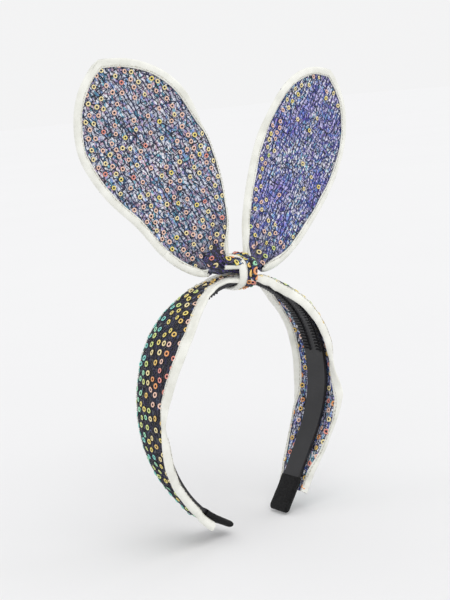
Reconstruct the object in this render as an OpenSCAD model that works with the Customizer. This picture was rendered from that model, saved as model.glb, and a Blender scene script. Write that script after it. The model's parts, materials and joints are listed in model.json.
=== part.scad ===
// Wired animal ears on a covered alice band.
// The origin is the middle of the hoop's inner face, on top of the head. +Z is up and -Y is the front.

/* [Hoop] */
// Radius of the inner face over the top of the head
crown_radius = 56.5; // [52:0.5:62]
// Angle that the crown arc turns through on each side
crown_angle = 70; // [60:1:75]
// Radius of the right arm's inner face beside the head
side_radius = 68; // [62:1:76]
// Angle at which the right arm's side hands over to its tip
side_angle = 122; // [118:1:128]
// Radius of the right arm's nearly straight tip
tip_radius = 700; // [400:20:900]
// Length of the right arm's nearly straight tip
tip_length = 49.5; // [36:0.5:52]
// Radius of the left arm's inner face beside the head, where it is sprung flatter
left_side_radius = 90; // [86:1:94]
// Angle at which the left arm's side hands over to its curled tip
left_side_angle = 90; // [88:1:92]
// Radius of the left arm's curled tip
left_tip_radius = 74; // [72:1:76]
// Thickness of the moulded hoop
hoop_thickness = 2; // [1.6:0.1:2.4]
// Width of the moulded hoop over the head
hoop_width = 15.5; // [13:0.5:18]
// Width of the moulded hoop at its tips
hoop_tip_width = 12; // [10:0.5:13]

/* [Comb teeth] */
// Distance from one tooth to the next
tooth_pitch = 2; // [1.6:0.1:3]
// Height of a tooth
tooth_height = 1.2; // [0.8:0.1:1.6]
// Length of each row, measured from the knot down one side
tooth_row_length = 68; // [20:2:72]
// Width of the front row
front_row_width = 3.7; // [2:0.1:5]
// Width of the rear row
rear_row_width = 5; // [3:0.1:6]

/* [Cover] */
// Width of the cover where it is widest, beside the head
cover_width = 39; // [32:1:46]
// Width of the cover where it is gathered under the knot
cover_knot_width = 16; // [15:0.5:17]
// Width of the cover at its ends, over the end sleeves
cover_tip_width = 21; // [17:0.5:23]
// How much narrower the cover's front half is low on the left arm
left_trim = 7; // [0:0.5:8]
// How much narrower the cover's front half is low on the right arm
right_trim = 4; // [0:0.5:8]
// Angle at which the cover's free edges turn in towards the head
cover_cup = 14; // [6:1:15]
// Thickness of the net with its backing
net_thickness = 0.6; // [0.5:0.1:0.6]
// Width of the satin binding on the cover and the ears
binding_width = 5.5; // [4:0.5:6]

/* [End sleeves] */
// Length of each end sleeve
sleeve_length = 20; // [16:1:26]
// Length of each sleeve that the cover leaves bare
bare_sleeve = 14; // [6:1:15]
// Thickness of a sleeve's felt
felt_thickness = 0.8; // [0.6:0.1:1]

/* [Knot] */
// Left side of the knot
knot_left = -2; // [-3:0.5:-2]
// Width of the knot along the hoop
knot_width = 14.5; // [13:0.5:14.5]
// Width of the knot's satin edge
knot_edge_width = 4.8; // [4:0.2:6]
// Thickness of the knot's cloth
knot_cloth = 2.3; // [1.6:0.1:2.6]

/* [Ears] */
// Length of an ear from its root in the knot to its point
ear_length = 131; // [120:1:138]
// Height of the outline's upper control point on the outer side
ear_outer_bulge = 64; // [50:1:66]
// Height of the outline's upper control point on the inner side
ear_inner_bulge = 57; // [48:1:62]
// Distance from the root to the upper bend
ear_bend_height = 74; // [68:1:80]
// Depth of the hollow towards the front
ear_cup = 4; // [2:0.5:5]
// Sideways lean of the left ear
left_lean = 27.5; // [22:0.5:34]
// Sideways lean of the right ear
right_lean = 38.5; // [30:0.5:42]
// Backward lean of both ears
back_lean = 4; // [0:1:10]
// How far each ear is turned outwards
ear_turn = 10; // [0:1:20]
// Diameter of the wire in the binding
wire_diameter = 1.2; // [1:0.1:1.3]

/* [Hidden] */

plastic = [0.17, 0.17, 0.18];
felt = [0.05, 0.05, 0.055];
net = [0.25, 0.29, 0.48];
ivory = [0.92, 0.91, 0.85];
steel = [0.6, 0.6, 0.62];

// An arm below the crown is [side radius, side angle, tip radius]
right_arm = [side_radius, side_angle, tip_radius];
left_arm = [left_side_radius, left_side_angle, left_tip_radius];
function arm(s) = s < 0 ? left_arm : right_arm;
function side_length(arm) = arm[0] * (arm[1] - crown_angle) * PI / 180;
crown_length = crown_radius * crown_angle * PI / 180;
half_length = crown_length + side_length(right_arm) + tip_length;
sleeve_start = half_length - sleeve_length;
cover_end = half_length - bare_sleeve;
crown_centre = [0, -crown_radius];
function side_centre(arm) = crown_centre + (crown_radius - arm[0]) * [sin(crown_angle), cos(crown_angle)];
function tip_centre(arm) = side_centre(arm) + (arm[0] - arm[2]) * [sin(arm[1]), cos(arm[1])];

// Clear gap between neighbouring pieces, and the wall of a folded binding
gap = 0.2;
satin = 0.5;
// Height of the middle of the cover's net above the hoop's inner face
cover_height = hoop_thickness + 2 * gap + satin + net_thickness / 2 + 0.1;
cover_camber = 800;

// ---- the hoop's line ----------------------------------------------------

// The arc at a distance d down an arm, as [centre, radius, angle turned through]
function arc(arm, d) = let (side_end = crown_length + side_length(arm))
    d < crown_length ? [crown_centre, crown_radius, d / crown_radius * 180 / PI]
    : d < side_end ? [side_centre(arm), arm[0], crown_angle + (d - crown_length) / arm[0] * 180 / PI]
    : [tip_centre(arm), arm[2], arm[1] + (d - side_end) / arm[2] * 180 / PI];
// Point in the XZ plane: s along the hoop, positive to the right, and out from its inner face
function hoop_xz(s, out) = let (
        a = arc(arm(s), abs(s)),
        p = a[0] + (a[1] + out) * [sin(a[2]), cos(a[2])]
    ) [s < 0 ? -p[0] : p[0], p[1]];
function hoop_xyz(s, y, out) = let (p = hoop_xz(s, out)) [p[0], y, p[1]];
function steps(from, to, n) = [for (i = [0:n]) from + (to - from) * i / n];
function blend(x) = let (k = min(max(x, 0), 1)) k * k * (3 - 2 * k);

// Outline of a strip of the hoop between two distances and two heights
function strip(s0, s1, out0, out1, n) = concat(
    [for (s = steps(s0, s1, n)) hoop_xz(s, out0)],
    [for (s = steps(s1, s0, n)) hoop_xz(s, out1)]);

// Extrudes a shape drawn in the XZ plane from y0 to y1
module across(y0, y1) {
    translate([0, y1, 0]) rotate([90, 0, 0]) linear_extrude(y1 - y0) children();
}

// ---- swept solids ---------------------------------------------------------

// Solid through a row of rings that have the same number of points
module swept(rings, flip = false) {
    n = len(rings[0]);
    last = len(rings) - 1;
    sides = [
        for (k = [0:last - 1], j = [0:n - 1])
            let (a = k * n + j, b = k * n + (j + 1) % n, c = a + n, d = b + n)
            each [[a, b, c], [b, d, c]]
    ];
    ends = [[for (j = [n - 1:-1:0]) j], [for (j = [0:n - 1]) last * n + j]];
    faces = concat(sides, ends);
    polyhedron(
        points = [for (r = rings) each r],
        faces = flip ? faces : [for (f = faces) [for (i = [len(f) - 1:-1:0]) f[i]]],
        convexity = 8);
}

// Ring round a path point, from a section given as [inward, outward] pairs
function ring(at, inward, normal, section) = [for (q = section) at + q[0] * inward + q[1] * normal];

// Folded binding: a narrow U that opens inwards
function fold_section(width, half, wall) = [
    [0, -half], [width, -half], [width, wall - half], [wall, wall - half],
    [wall, half - wall], [width, half - wall], [width, half], [0, half]];

function unit(v) = v / norm(v);
function mix(a, b, k) = a + (b - a) * k;

// ---- hoop -------------------------------------------------------------------

// A tooth's outline, in shares of the pitch and of the height; its root is sunk a little into the hoop
tooth_root = -0.05;
tooth_outline = [[0, tooth_root], [-0.35, -1], [-0.65, -1], [-0.95, tooth_root]];
// Gap from the knot to the first tooth, and from a row to the hoop's edge
tooth_start_gap = 2.5;
row_inset = 0.8;
hoop_steps = 110;

module tooth_row(side, y0, y1) {
    first = knot_left + knot_width + tooth_start_gap;
    count = floor(tooth_row_length / tooth_pitch);
    outline = concat(
        [for (s = steps(first, first + count * tooth_pitch, count)) hoop_xz(side * s, hoop_thickness / 2)],
        [for (i = [count:-1:1], q = tooth_outline)
            hoop_xz(side * (first + (i + q[0]) * tooth_pitch), q[1] * tooth_height)],
        [hoop_xz(side * first, tooth_root * tooth_height)]);
    across(y0, y1) polygon(outline);
}

// Width of the hoop seen from the side: parallel over the head, tapered and rounded at the tips
module hoop_side_view() {
    low = hoop_xz(half_length, 0)[1] - hoop_thickness - 1;
    taper_start = -crown_radius;
    polygon([
        [-hoop_width / 2, 5], [-hoop_width / 2, taper_start], [-hoop_tip_width / 2, low],
        [hoop_tip_width / 2, low], [hoop_width / 2, taper_start], [hoop_width / 2, 5]]);
}

module band_core() {
    color(plastic) {
        intersection() {
            across(-hoop_width, hoop_width)
                polygon(strip(-half_length, half_length, 0, hoop_thickness, hoop_steps));
            rotate([90, 0, 90]) linear_extrude(4 * crown_radius, center = true) hoop_side_view();
        }
        for (side = [-1, 1]) {
            tooth_row(side, row_inset - hoop_width / 2, row_inset - hoop_width / 2 + front_row_width);
            tooth_row(side, hoop_width / 2 - row_inset - rear_row_width, hoop_width / 2 - row_inset);
        }
    }
}

// How much the hoop has narrowed on each edge where a sleeve starts
sleeve_taper = 1;
sleeve_steps = 14;

// Felt sleeve over one tip, closed at the end
module sleeve(side) {
    wall = gap / 2 + felt_thickness;
    half = hoop_width / 2 - sleeve_taper;
    color(felt) difference() {
        across(-half - wall, half + wall)
            polygon(strip(side * sleeve_start, side * (half_length + wall), -wall, hoop_thickness + wall,
                sleeve_steps));
        across(-half - gap / 2, half + gap / 2)
            polygon(strip(side * (sleeve_start - 1), side * (half_length + gap / 2), -gap / 2,
                hoop_thickness + gap / 2, sleeve_steps));
    }
}

module sleeve_left() { sleeve(-1); }
module sleeve_right() { sleeve(1); }

// ---- cover ------------------------------------------------------------------

// Shares of the way down an arm at which the cover widens and narrows again
swell_start = 0.04;
swell_rise = 0.28;
swell_stop = 0.62;
swell_fall = 0.5;
// The front half is trimmed from this far down an arm, fully after this much more, and keeps this reach
trim_start = 58;
trim_soft = 45;
least_reach = 9;

cover_steps = 60;
// The edges start to turn in this far past the hoop's edge, and are fully turned this much further out
cup_start = 1;
cup_soft = 5;
// The cover starts to rise this far before a sleeve, and takes this length to do it
lift_before = 8;
lift_soft = 6;

// Half width of the cover at a distance s from the top
function cover_half(s) = let (
        k = abs(s) / cover_end,
        swell = blend((k - swell_start) / swell_rise) * (1 - blend((k - swell_stop) / swell_fall)),
        base = mix(cover_knot_width, cover_tip_width, blend(k))
    ) mix(base, cover_width, swell) / 2;
// Reach of the cover's front or rear edge from the middle of its width
function cover_reach(s, side) = let (
        half = cover_half(s),
        trim = (s < 0 ? left_trim : right_trim) * blend((abs(s) - trim_start) / trim_soft)
    ) side > 0 ? half : max(min(half, least_reach), half - trim);
// Angle of the free edge, which lies flat where the cover is no wider than the hoop
function edge_cup(s, side) =
    cover_cup * blend((cover_reach(s, side) - hoop_width / 2 - cup_start) / cup_soft);
// Height of the net's middle above the hoop's inner face, with a slight crown across its width.
// It rises to pass over the end sleeves.
function sleeve_lift(s) = (felt_thickness + gap) * blend((abs(s) - sleeve_start + lift_before) / lift_soft);
function cover_out(s, y) = cover_height + sleeve_lift(s) - y * y / cover_camber
    - max(0, abs(y) - hoop_width / 2) * tan(edge_cup(s, y < 0 ? -1 : 1));

module cover_net() {
    inset = satin + 2 * gap;
    rows = [
        for (s = steps(-cover_end, cover_end, cover_steps))
            let (
                front = cover_reach(s, -1) - inset,
                rear = cover_reach(s, 1) - inset,
                places = [-front, -min(front - 0.5, hoop_width / 2), 0, min(rear - 0.5, hoop_width / 2), rear]
            )
            concat(
                [for (y = places) hoop_xyz(s, y, cover_out(s, y) - net_thickness / 2)],
                [for (y = backwards(places)) hoop_xyz(s, y, cover_out(s, y) + net_thickness / 2)])
    ];
    color(net) swept(rows, true);
}

module cover_binding(side) {
    half_fold = satin + gap + net_thickness / 2;
    section = fold_section(binding_width, half_fold, satin);
    rows = [
        for (s = steps(-cover_end, cover_end, cover_steps))
            let (half = cover_reach(s, side), cup = edge_cup(s, side), base = cover_out(s, side * half))
            [for (q = section)
                hoop_xyz(s, side * (half - q[0] * cos(cup) + q[1] * sin(cup)),
                    base + q[0] * sin(cup) + q[1] * cos(cup))]
    ];
    color(ivory) swept(rows, side < 0);
}

module cover_binding_front() { cover_binding(-1); }
module cover_binding_rear() { cover_binding(1); }

// ---- knot -------------------------------------------------------------------

knot_low = -2.2;
knot_high = 13.4;
knot_half = 9.3;

// Rounded box in the YZ plane, grown by a distance
module knot_outline(grow) {
    corner = 3 + grow;
    y = knot_half + grow - corner;
    polygon([
        for (quarter = [0:3], k = [0:6])
            let (a = 90 * quarter + 15 * k, right = quarter == 0 || quarter == 3, top = quarter < 2)
            [(right ? y : -y) + corner * cos(a),
                (top ? knot_high + grow - corner : knot_low - grow + corner) + corner * sin(a)]
    ]);
}

// Loop of cloth round the crown between two places along X
module knot_loop(x0, x1) {
    translate([x0, 0, 0]) rotate([90, 0, 90]) linear_extrude(x1 - x0)
        difference() {
            knot_outline(knot_cloth);
            knot_outline(0);
        }
}

module knot_wrap() {
    color(net) knot_loop(knot_left + knot_edge_width + gap, knot_left + knot_width);
}

module knot_binding() {
    color(ivory) knot_loop(knot_left, knot_left + knot_edge_width);
}

// Tucked end of the knot's strip, in front of the left neck
module knot_tail() {
    color(net) across(-11, -6.2)
        polygon([[-8, 9.5], [-2.3, 8.2], [-2.3, 14], [-5, 14.6], [-8, 14]]);
}

// ---- gathered middle of the ear strip -----------------------------------------

neck_radius = 2.8;
neck_bore = 1.4;
wires_radius = 1.1;
neck_route = [
    [-9.5, -1.9, 15.3], [-8.2, -2.1, 12.9], [-6.3, -2.3, 10.6], [-3.6, -2.6, 9], [0, -3, 8.3],
    [5, -3.4, 8.1], [9.5, -3.6, 8.4], [12.5, -3.5, 9.2], [14.4, -3.4, 11], [15.5, -3.2, 13.2],
];

function route_direction(p, i) = unit(p[min(i + 1, len(p) - 1)] - p[max(i - 1, 0)]);

// Tube of a constant radius along a route of points
module tube(route, radius, sides) {
    rings = [
        for (i = [0:len(route) - 1])
            let (d = route_direction(route, i), v = unit(cross(d, [0, 1, 0])), u = cross(v, d))
            [for (k = [0:sides - 1]) route[i] + radius * (cos(360 * k / sides) * u + sin(360 * k / sides) * v)]
    ];
    swept(rings, false);
}

module neck_gather() {
    long = len(neck_route) - 1;
    through = concat(
        [neck_route[0] - 2 * route_direction(neck_route, 0)], neck_route,
        [neck_route[long] + 2 * route_direction(neck_route, long)]);
    color(net) difference() {
        tube(neck_route, neck_radius, 12);
        tube(through, neck_bore, 10);
    }
}

module neck_wires() {
    color(steel) tube(neck_route, wires_radius, 8);
}

// ---- ears -------------------------------------------------------------------

// Each ear has its own frame: along its length, out across its width, and towards the front.
// It starts at its root in the knot. The lower bend is a short way up, and the panel starts above it.
left_start = [-7, -2.3, 10.5];
right_start = [11.7, -3.6, 9];
ear_first = 10;
bend_gap = 5;
edge_half = 1.2;

function ear_start(side) = side < 0 ? left_start : right_start;
function ear_lean(side) = side < 0 ? left_lean : right_lean;
function ear_along(side) = let (lean = ear_lean(side))
    [side * sin(lean) * cos(back_lean), sin(back_lean), cos(lean) * cos(back_lean)];
function ear_front(side) = let (
        along = ear_along(side),
        facing = [side * sin(ear_turn), -cos(ear_turn), 0]
    ) unit(facing - (facing * along) * along);
function ear_across(side) = side * cross(ear_along(side), ear_front(side));
function ear_place(side, p) = ear_start(side)
    + p[0] * ear_along(side) + p[1] * ear_across(side) + p[2] * ear_front(side);

// The ear's outline is one curve on each side of its length
outer_curve = [[0, 9], [5, 31], [ear_length - 11, ear_outer_bulge], [ear_length, 0]];
inner_curve = [[0, -5], [26, -28], [ear_length - 21, -ear_inner_bulge], [ear_length, 0]];

function curve(c, t) = pow(1 - t, 3) * c[0] + 3 * pow(1 - t, 2) * t * c[1]
    + 3 * (1 - t) * t * t * c[2] + pow(t, 3) * c[3];
function curve_slope(c, t) = unit(3 * pow(1 - t, 2) * (c[1] - c[0])
    + 6 * (1 - t) * t * (c[2] - c[1]) + 3 * t * t * (c[3] - c[2]));
// Parameter at which a curve reaches a distance along the ear
function curve_at(c, along, low = 0, high = 1, n = 24) = let (mid = (low + high) / 2)
    n == 0 ? mid : curve(c, mid)[0] < along ? curve_at(c, along, mid, high, n - 1)
    : curve_at(c, along, low, mid, n - 1);

// Depth of the hollow above the upper bend, at this distance from the ear's middle line
least_hollow = 0.9;
hollow_reach = 35;

function hollow(along) = least_hollow + ear_cup * pow(1 - min(along / ear_bend_height, 1), 2);
function ear_surface(p) = [p[0], p[1], hollow(p[0]) * pow(p[1] / hollow_reach, 2)];

// An edge station is [point, inward direction] in the flat ear
function edge_station(c, t) = let (d = curve_slope(c, t), side = c[0][1] > 0 ? 1 : -1)
    [curve(c, t), [side * d[1], -side * d[0]]];
function edge_stations(c, t0, t1, n) = [for (t = steps(t0, t1, n)) edge_station(c, t)];
// Round the point, the inward direction is along the ear, and longer, as in a mitre
function point_station() = let (d = curve_slope(outer_curve, 1)) [[ear_length, 0], [1 / d[1], 0]];
function backwards(v) = [for (i = [len(v) - 1:-1:0]) v[i]];

function place_ring(side, station, section) = let (
        p = station[0],
        at = ear_surface(p),
        inward = ear_surface(p + station[1]) - at,
        tangent = unit([station[1][1], -station[1][0], 0]),
        normal = unit(cross(inward, tangent)),
        up = normal[2] < 0 ? -normal : normal
    ) [for (q = ring(at, inward, up, section)) ear_place(side, q)];

function circle_section(inset, radius, sides) = [
    for (k = [0:sides - 1]) [inset + radius * cos(360 * k / sides), radius * sin(360 * k / sides)]];

// One solid along an edge, for a binding or a wire
module edge_sweep(side, stations, section, flip) {
    swept([for (st = stations) place_ring(side, st, section)], flip);
}

outer_steps = 16;
inner_steps = 14;
// Where the last edge station comes before the ear's point, as a curve parameter
last_station = 0.985;

// The two edges below the upper bend
module lower_edges(side, section) {
    stop = ear_bend_height - bend_gap / 2;
    outer = edge_stations(
        outer_curve, curve_at(outer_curve, ear_first), curve_at(outer_curve, stop), outer_steps);
    inner = edge_stations(
        inner_curve, curve_at(inner_curve, ear_first), curve_at(inner_curve, stop), inner_steps);
    edge_sweep(side, outer, section, side < 0);
    edge_sweep(side, inner, section, side > 0);
}

// The edge above the upper bend, round the ear's point
module upper_edge(side, section) {
    start = ear_bend_height + bend_gap / 2;
    stations = concat(
        edge_stations(outer_curve, curve_at(outer_curve, start), last_station, outer_steps),
        [point_station()],
        backwards(edge_stations(inner_curve, curve_at(inner_curve, start), last_station, outer_steps)));
    edge_sweep(side, stations, section, side < 0);
}

// How far a panel stays inside the outline, and short of the ear's point
panel_inset = 2.4;
panel_end_gap = 3.6;
panel_rows = 16;

// Thin panel between the two bindings, from one distance along the ear to another
module panel(side, from, to) {
    spans = 6;
    rows = [
        for (k = [0:panel_rows])
            let (
                along = mix(from, to, k / panel_rows),
                o = edge_station(outer_curve, curve_at(outer_curve, along)),
                i = edge_station(inner_curve, curve_at(inner_curve, along)),
                a = o[0] + panel_inset * o[1],
                b = i[0] + panel_inset * i[1]
            )
            concat(
                [for (j = [0:spans]) ear_surface(mix(a, b, j / spans)) - [0, 0, net_thickness / 2]],
                [for (j = [spans:-1:0]) ear_surface(mix(a, b, j / spans)) + [0, 0, net_thickness / 2]])
    ];
    color(net) swept([for (r = rows) [for (p = r) ear_place(side, p)]], side > 0);
}

fold = fold_section(binding_width, edge_half, satin - 0.05);
wire_inset = 1.2;
wire = circle_section(wire_inset, wire_diameter / 2, 6);

module ear_net(side) { panel(side, ear_first, ear_bend_height - bend_gap / 2); }
module ear_binding(side) { color(ivory) lower_edges(side, fold); }
module ear_wire(side) { color(steel) lower_edges(side, wire); }
module ear_tip_net(side) { panel(side, ear_bend_height + bend_gap / 2, ear_length - panel_end_gap); }
module ear_tip_binding(side) { color(ivory) upper_edge(side, fold); }
module ear_tip_wire(side) { color(steel) upper_edge(side, wire); }

band_core();
sleeve_left();
sleeve_right();
cover_net();
cover_binding_front();
cover_binding_rear();
knot_wrap();
knot_binding();
knot_tail();
neck_gather();
neck_wires();
ear_net(-1);  // ear_left_net
ear_binding(-1);  // ear_left_binding
ear_wire(-1);  // ear_left_wire
ear_tip_net(-1);  // ear_left_tip_net
ear_tip_binding(-1);  // ear_left_tip_binding
ear_tip_wire(-1);  // ear_left_tip_wire
ear_net(1);  // ear_right_net
ear_binding(1);  // ear_right_binding
ear_wire(1);  // ear_right_wire
ear_tip_net(1);  // ear_right_tip_net
ear_tip_binding(1);  // ear_right_tip_binding
ear_tip_wire(1);  // ear_right_tip_wire
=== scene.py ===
"""Looks of a knotted, wired animal ears headband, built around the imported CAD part.

Every shape is worked out in mm and turned into metres when its mesh is made. Cloth is described by flat
coordinates on a curved surface, so that its net, sequins, bindings and stitches all follow the same folds.
"""

import json
import math

import bpy
import numpy as np
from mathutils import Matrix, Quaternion, Vector


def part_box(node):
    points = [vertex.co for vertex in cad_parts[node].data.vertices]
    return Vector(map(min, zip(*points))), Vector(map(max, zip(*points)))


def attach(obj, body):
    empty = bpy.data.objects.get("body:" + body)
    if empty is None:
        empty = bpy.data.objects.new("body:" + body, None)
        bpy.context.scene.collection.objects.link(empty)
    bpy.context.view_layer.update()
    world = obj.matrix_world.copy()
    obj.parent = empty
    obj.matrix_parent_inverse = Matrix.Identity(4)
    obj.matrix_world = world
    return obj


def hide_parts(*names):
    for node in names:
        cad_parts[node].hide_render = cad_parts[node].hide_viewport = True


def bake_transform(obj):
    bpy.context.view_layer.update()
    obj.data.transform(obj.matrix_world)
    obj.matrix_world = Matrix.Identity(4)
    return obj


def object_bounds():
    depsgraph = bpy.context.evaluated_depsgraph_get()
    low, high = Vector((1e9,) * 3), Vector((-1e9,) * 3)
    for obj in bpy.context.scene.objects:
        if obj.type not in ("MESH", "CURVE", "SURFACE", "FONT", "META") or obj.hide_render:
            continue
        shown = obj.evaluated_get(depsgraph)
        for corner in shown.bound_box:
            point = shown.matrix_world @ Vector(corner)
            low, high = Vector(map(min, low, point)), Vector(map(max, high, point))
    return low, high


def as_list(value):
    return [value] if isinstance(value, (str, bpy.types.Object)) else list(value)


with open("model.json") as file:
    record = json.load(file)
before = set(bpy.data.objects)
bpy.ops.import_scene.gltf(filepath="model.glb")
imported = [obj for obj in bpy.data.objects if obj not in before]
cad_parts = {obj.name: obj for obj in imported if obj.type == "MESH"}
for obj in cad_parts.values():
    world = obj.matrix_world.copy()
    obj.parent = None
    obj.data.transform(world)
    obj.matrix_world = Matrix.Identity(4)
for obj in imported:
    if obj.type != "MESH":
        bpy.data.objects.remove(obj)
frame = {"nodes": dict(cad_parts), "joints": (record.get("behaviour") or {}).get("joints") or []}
cad_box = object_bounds()
MM = 0.001

# ---- driving dimensions, as in the CAD part, in mm ----

CROWN_RADIUS = 56.5
CROWN_ANGLE = math.radians(70)
RIGHT_ARM = (68, math.radians(122), 700)
LEFT_ARM = (90, math.radians(90), 74)
TIP_LENGTH = 49.5
HOOP_THICKNESS = 2
HOOP_HALF_WIDTH = 7.75
CROWN_LENGTH = CROWN_RADIUS * CROWN_ANGLE
HALF_LENGTH = CROWN_LENGTH + RIGHT_ARM[0] * (RIGHT_ARM[1] - CROWN_ANGLE) + TIP_LENGTH
SLEEVE_LENGTH = 20
SLEEVE_START = HALF_LENGTH - SLEEVE_LENGTH
BARE_SLEEVE = 14
COVER_END = HALF_LENGTH - BARE_SLEEVE
COVER_WIDTH = 39
COVER_KNOT_WIDTH = 16
COVER_TIP_WIDTH = 21
LEFT_TRIM = 7
RIGHT_TRIM = 4
LEAST_REACH = 9
TRIM_START, TRIM_SOFT = 58, 45
SWELL_START, SWELL_RISE, SWELL_STOP, SWELL_FALL = 0.04, 0.28, 0.62, 0.5
COVER_CUP = math.radians(14)
COVER_HEIGHT = 3.3
BINDING_WIDTH = 5.5
EAR_BINDING_WIDTH = 4.5
STITCH_INSET = 0.9
STITCH_PITCH = 2.4
EAR_LENGTH = 131
EAR_NECK = 8
EAR_BEND = 74
EAR_SPLIT = 26
EAR_CUP = 4
OUTER_CURVE = [(0, 9), (5, 31), (EAR_LENGTH - 11, 64), (EAR_LENGTH, 0)]
INNER_CURVE = [(0, -5), (26, -28), (EAR_LENGTH - 21, -57), (EAR_LENGTH, 0)]


# ---- small sums ----

def blend(x):
    k = np.clip(x, 0, 1)
    return k * k * (3 - 2 * k)


def mix(a, b, k):
    return a + (b - a) * k


def window(x, low, high, soft):
    """1 between low and high, fading to 0 over a soft distance at each end."""
    return blend((x - low) / soft + 0.5) * blend((high - x) / soft + 0.5)


def unit(v):
    v = np.asarray(v, float)
    return v / np.linalg.norm(v, axis=-1, keepdims=True)


def ripple(x, y, size, seed):
    """Wandering height between about -1 and 1, with hollows about a given size across."""
    rng = np.random.default_rng(seed)
    total = 0
    for _ in range(6):
        heading, phase = rng.uniform(0, 2 * math.pi, 2)
        scale = 2 * math.pi / (size * rng.uniform(0.7, 1.7))
        total = total + np.sin((x * math.cos(heading) + y * math.sin(heading)) * scale + phase)
    return total / 3


def bezier(corners, t):
    a, b, c, d = (np.array(corner, float) for corner in corners)
    t = np.asarray(t, float)[:, None]
    return (1 - t) ** 3 * a + 3 * (1 - t) ** 2 * t * b + 3 * (1 - t) * t ** 2 * c + t ** 3 * d


def linear(red, green, blue):
    """A colour given as it looks on a screen, from 0 to 255, as the shader wants it."""
    channels = [((v / 255 + 0.055) / 1.055) ** 2.4 for v in (red, green, blue)]
    return (*channels, 1.0)


# ---- materials ----

FULL = (1, 1, 1, 1)


def start_material(name, **settings):
    made = bpy.data.materials.new(name)
    made.use_nodes = True
    shader = made.node_tree.nodes["Principled BSDF"]
    for key, value in settings.items():
        shader.inputs[key.replace("_", " ")].default_value = value
    return made


def connect(made, value, socket):
    """Feeds a socket from another one, or sets it to a value."""
    if isinstance(value, bpy.types.NodeSocket):
        made.node_tree.links.new(value, socket)
    else:
        socket.default_value = value


def add(made, kind, inputs, **attributes):
    """A node of a material. Inputs are values, or the sockets that feed them."""
    new = made.node_tree.nodes.new(kind)
    for key, value in attributes.items():
        setattr(new, key, value)
    for key, value in inputs.items():
        connect(made, value, new.inputs[key])
    return new


def feed(made, socket, source):
    shader = made.node_tree.nodes["Principled BSDF"]
    made.node_tree.links.new(source, shader.inputs[socket])


def cloth_place(made, scale=(1, 1, 1), turn=0.0):
    """Flat cloth coordinates, which are stored in mm, so a scale of 1 is one feature to the mm."""
    place = add(made, "ShaderNodeUVMap", {}, uv_map="cloth")
    inputs = {"Vector": place.outputs["UV"], "Scale": scale, "Rotation": (0, 0, turn)}
    return add(made, "ShaderNodeMapping", inputs).outputs["Vector"]


def solid_place(made, scale):
    place = add(made, "ShaderNodeTexCoord", {})
    inputs = {"Vector": place.outputs["Object"], "Scale": (scale, scale, scale)}
    return add(made, "ShaderNodeMapping", inputs).outputs["Vector"]


def ramp(made, factor, stops, hard=False):
    """Colours along a factor. Stops are pairs of place and colour."""
    made_ramp = add(made, "ShaderNodeValToRGB", {"Fac": factor})
    band = made_ramp.color_ramp
    band.interpolation = "CONSTANT" if hard else "LINEAR"
    for _ in stops[2:]:
        band.elements.new(1)
    for element, (place, colour) in zip(band.elements, stops):
        element.position = place
        element.color = colour
    return made_ramp.outputs["Color"]


def noise(made, place, scale, detail=3.0):
    inputs = {"Vector": place, "Scale": scale, "Detail": detail}
    return add(made, "ShaderNodeTexNoise", inputs).outputs["Fac"]


def multiplied(made, factor, a, b):
    """One colour darkened by another, as far as the factor says."""
    new = made.node_tree.nodes.new("ShaderNodeMix")
    new.data_type = "RGBA"
    new.blend_type = "MULTIPLY"
    for place, value in ((0, factor), (6, a), (7, b)):
        connect(made, value, new.inputs[place])
    return new.outputs[2]


def bump(made, height, strength, distance):
    inputs = {"Height": height, "Strength": strength, "Distance": distance * MM}
    feed(made, "Normal", add(made, "ShaderNodeBump", inputs).outputs["Normal"])


def film_material(name, flecks, shade, drift, dark_end):
    """Sheer shot lining: small flecks of changing colour, with patches that drift towards a shade.

    It darkens towards the end of the cloth that is gathered, over the given distance: painted shade of the
    folds by the knot, on cloth that also looks darker where it bunches in layers.
    """
    made = start_material(name, Roughness=0.4, Sheen_Weight=0.2, Coat_Weight=0.1, Coat_Roughness=0.3)
    place = cloth_place(made, (0.55, 0.98, 1.0))
    inputs = {"Vector": place, "Scale": 1.0, "Randomness": 1.0}
    cells = add(made, "ShaderNodeTexVoronoi", inputs, voronoi_dimensions="2D")
    pick = add(made, "ShaderNodeSeparateColor", {"Color": cells.outputs["Color"]}).outputs["Red"]
    stops = [(k / len(flecks), colour) for k, colour in enumerate(flecks)]
    colour = ramp(made, pick, stops, hard=True)
    patches = ramp(made, noise(made, place, 0.06), [(0.42, (0, 0, 0, 1)), (0.62, FULL)])
    tint = add(made, "ShaderNodeMath", {0: patches, 1: drift}, operation="MULTIPLY").outputs[0]
    colour = multiplied(made, tint, colour, shade)
    weave = ramp(made, noise(made, place, 1.1, 2.0), [(0.38, (0.36, 0.36, 0.46, 1)), (0.5, FULL)])
    colour = multiplied(made, 0.45, colour, weave)
    creases = ramp(made, cells.outputs["Distance"], [(0.4, FULL), (0.62, (0.16, 0.18, 0.34, 1))])
    colour = multiplied(made, 0.5, colour, creases)
    # Painted shade, in part: darker towards the gathered end by the knot, where the folds lie in shade, and
    # where the cloth bunched in layers is darker too.
    length = cloth_place(made, (1 / dark_end, 1, 1))
    along = add(made, "ShaderNodeSeparateXYZ", {"Vector": length}).outputs["X"]
    gathered = ramp(made, along, [(0.0, (0.16, 0.15, 0.24, 1)), (1.0, FULL)])
    feed(made, "Base Color", multiplied(made, 1.0, colour, gathered))
    bump(made, cells.outputs["Distance"], 0.35, 0.15)
    return made


def thread_material(name, dark, light):
    made = start_material(name, Roughness=0.5, Sheen_Weight=0.15)
    place = cloth_place(made)
    stops = [(0.38, dark), (0.66, light)]
    feed(made, "Base Color", ramp(made, noise(made, place, 0.16, 4.0), stops))
    bump(made, noise(made, place, 3.5), 0.4, 0.08)
    return made


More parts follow.
